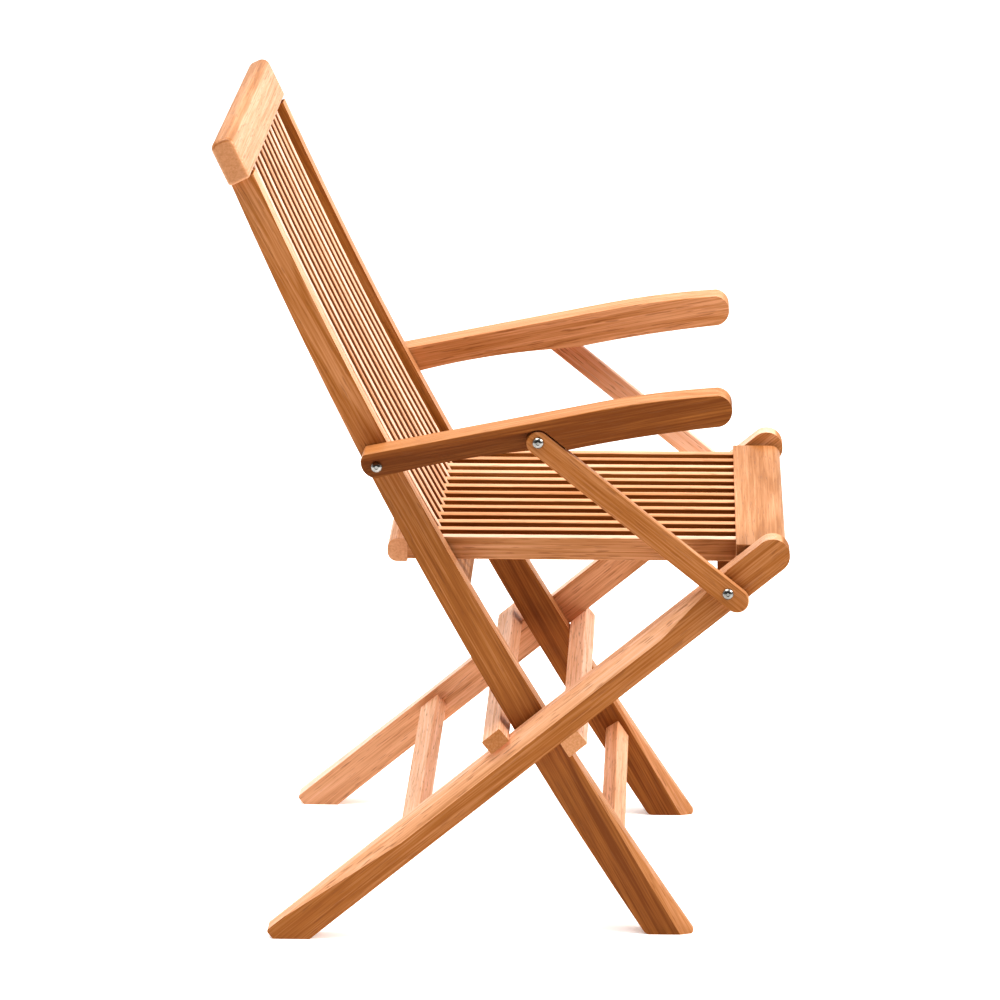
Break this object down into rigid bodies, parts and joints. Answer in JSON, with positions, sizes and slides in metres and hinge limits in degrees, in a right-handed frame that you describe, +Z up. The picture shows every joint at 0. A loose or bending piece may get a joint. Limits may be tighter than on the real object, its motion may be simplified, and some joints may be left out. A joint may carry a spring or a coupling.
{
  "type": "folding armchair",
  "caption": "Folding slatted hardwood garden armchair with a curved high back, straight crossed legs, hinged arms on braces and a slatted seat.",
  "frame": {"origin": "centre of the bounding box's base, on the floor", "axes": "+Z up, the front of the chair faces -Y, X across the chair"},
  "size_m": [0.568, 0.6269, 0.9015],
  "materials": {
    "teak": "satin",
    "steel": "brushed"
  },
  "bodies": {
    "back_frame": {"stile_left": "teak", "stile_right": "teak", "crest_rail": "teak", "back_slat_01": "teak", "back_slat_02": "teak", "back_slat_03": "teak", "back_slat_04": "teak", "back_slat_05": "teak", "back_slat_06": "teak", "back_slat_07": "teak", "back_slat_08": "teak", "back_slat_09": "teak", "back_slat_10": "teak", "back_slat_11": "teak", "back_slat_12": "teak", "lower_back_rail": "teak", "front_stretcher": "teak", "frame_pivot_pins": "steel", "frame_pivot_washers": "steel", "arm_pivot_bolts": "steel", "arm_pivot_washers": "steel"},
    "leg_frame": {"leg_left": "teak", "leg_right": "teak", "stop_stretcher_rear": "teak", "stop_stretcher_front": "teak", "rear_stretcher": "teak", "seat_pivot_pins": "steel", "seat_spacers": "steel"},
    "seat": {"seat_front_rail": "teak", "seat_rear_rail": "teak", "seat_side_rail_left": "teak", "seat_side_rail_right": "teak", "seat_slat_01": "teak", "seat_slat_02": "teak", "seat_slat_03": "teak", "seat_slat_04": "teak", "seat_slat_05": "teak", "seat_slat_06": "teak", "seat_slat_07": "teak", "seat_slat_08": "teak", "seat_slat_09": "teak", "seat_slat_10": "teak", "seat_slat_11": "teak", "seat_front_cleat": "teak"},
    "arm_left": {"armrest_left": "teak", "brace_bolt_upper_left": "steel"},
    "arm_right": {"armrest_right": "teak", "brace_bolt_upper_right": "steel"},
    "brace_left": {"arm_brace_left": "teak", "brace_bolt_lower_left": "steel"},
    "brace_right": {"arm_brace_right": "teak", "brace_bolt_lower_right": "steel"}
  },
  "joints": [
    {"name": "fold", "type": "hinge", "parent": "back_frame", "child": "leg_frame", "pos_m": [0, -0.0365, 0.232], "axis": [-1, 0, 0], "range_deg": [0, 67]},
    {"name": "seat_turn", "type": "hinge", "parent": "leg_frame", "child": "seat", "pos_m": [0, -0.28141, 0.43389], "axis": [1, 0, 0], "range_deg": [0, 112.5]},
    {"name": "arm_turn_left", "type": "hinge", "parent": "back_frame", "child": "arm_left", "pos_m": [-0.26, 0.1375, 0.541], "axis": [-1, 0, 0], "range_deg": [0, 98.2]},
    {"name": "brace_turn_left", "type": "hinge", "parent": "arm_left", "child": "brace_left", "pos_m": [-0.26, -0.0385, 0.572], "axis": [1, 0, 0], "range_deg": [0, 114.5]},
    {"name": "arm_turn_right", "type": "hinge", "parent": "back_frame", "child": "arm_right", "pos_m": [0.26, 0.1375, 0.541], "axis": [-1, 0, 0], "range_deg": [0, 98.2]},
    {"name": "brace_turn_right", "type": "hinge", "parent": "arm_right", "child": "brace_right", "pos_m": [0.26, -0.0385, 0.572], "axis": [1, 0, 0], "range_deg": [0, 114.5]}
  ],
  "couplings": [
    {"joint": "seat_turn", "follows": "fold", "ratio": 1.675},
    {"joint": "arm_turn_left", "follows": "fold", "ratio": 1.4622},
    {"joint": "brace_turn_left", "follows": "fold", "ratio": 1.7054},
    {"joint": "arm_turn_right", "follows": "fold", "ratio": 1.4622},
    {"joint": "brace_turn_right", "follows": "fold", "ratio": 1.7054}
  ]
}
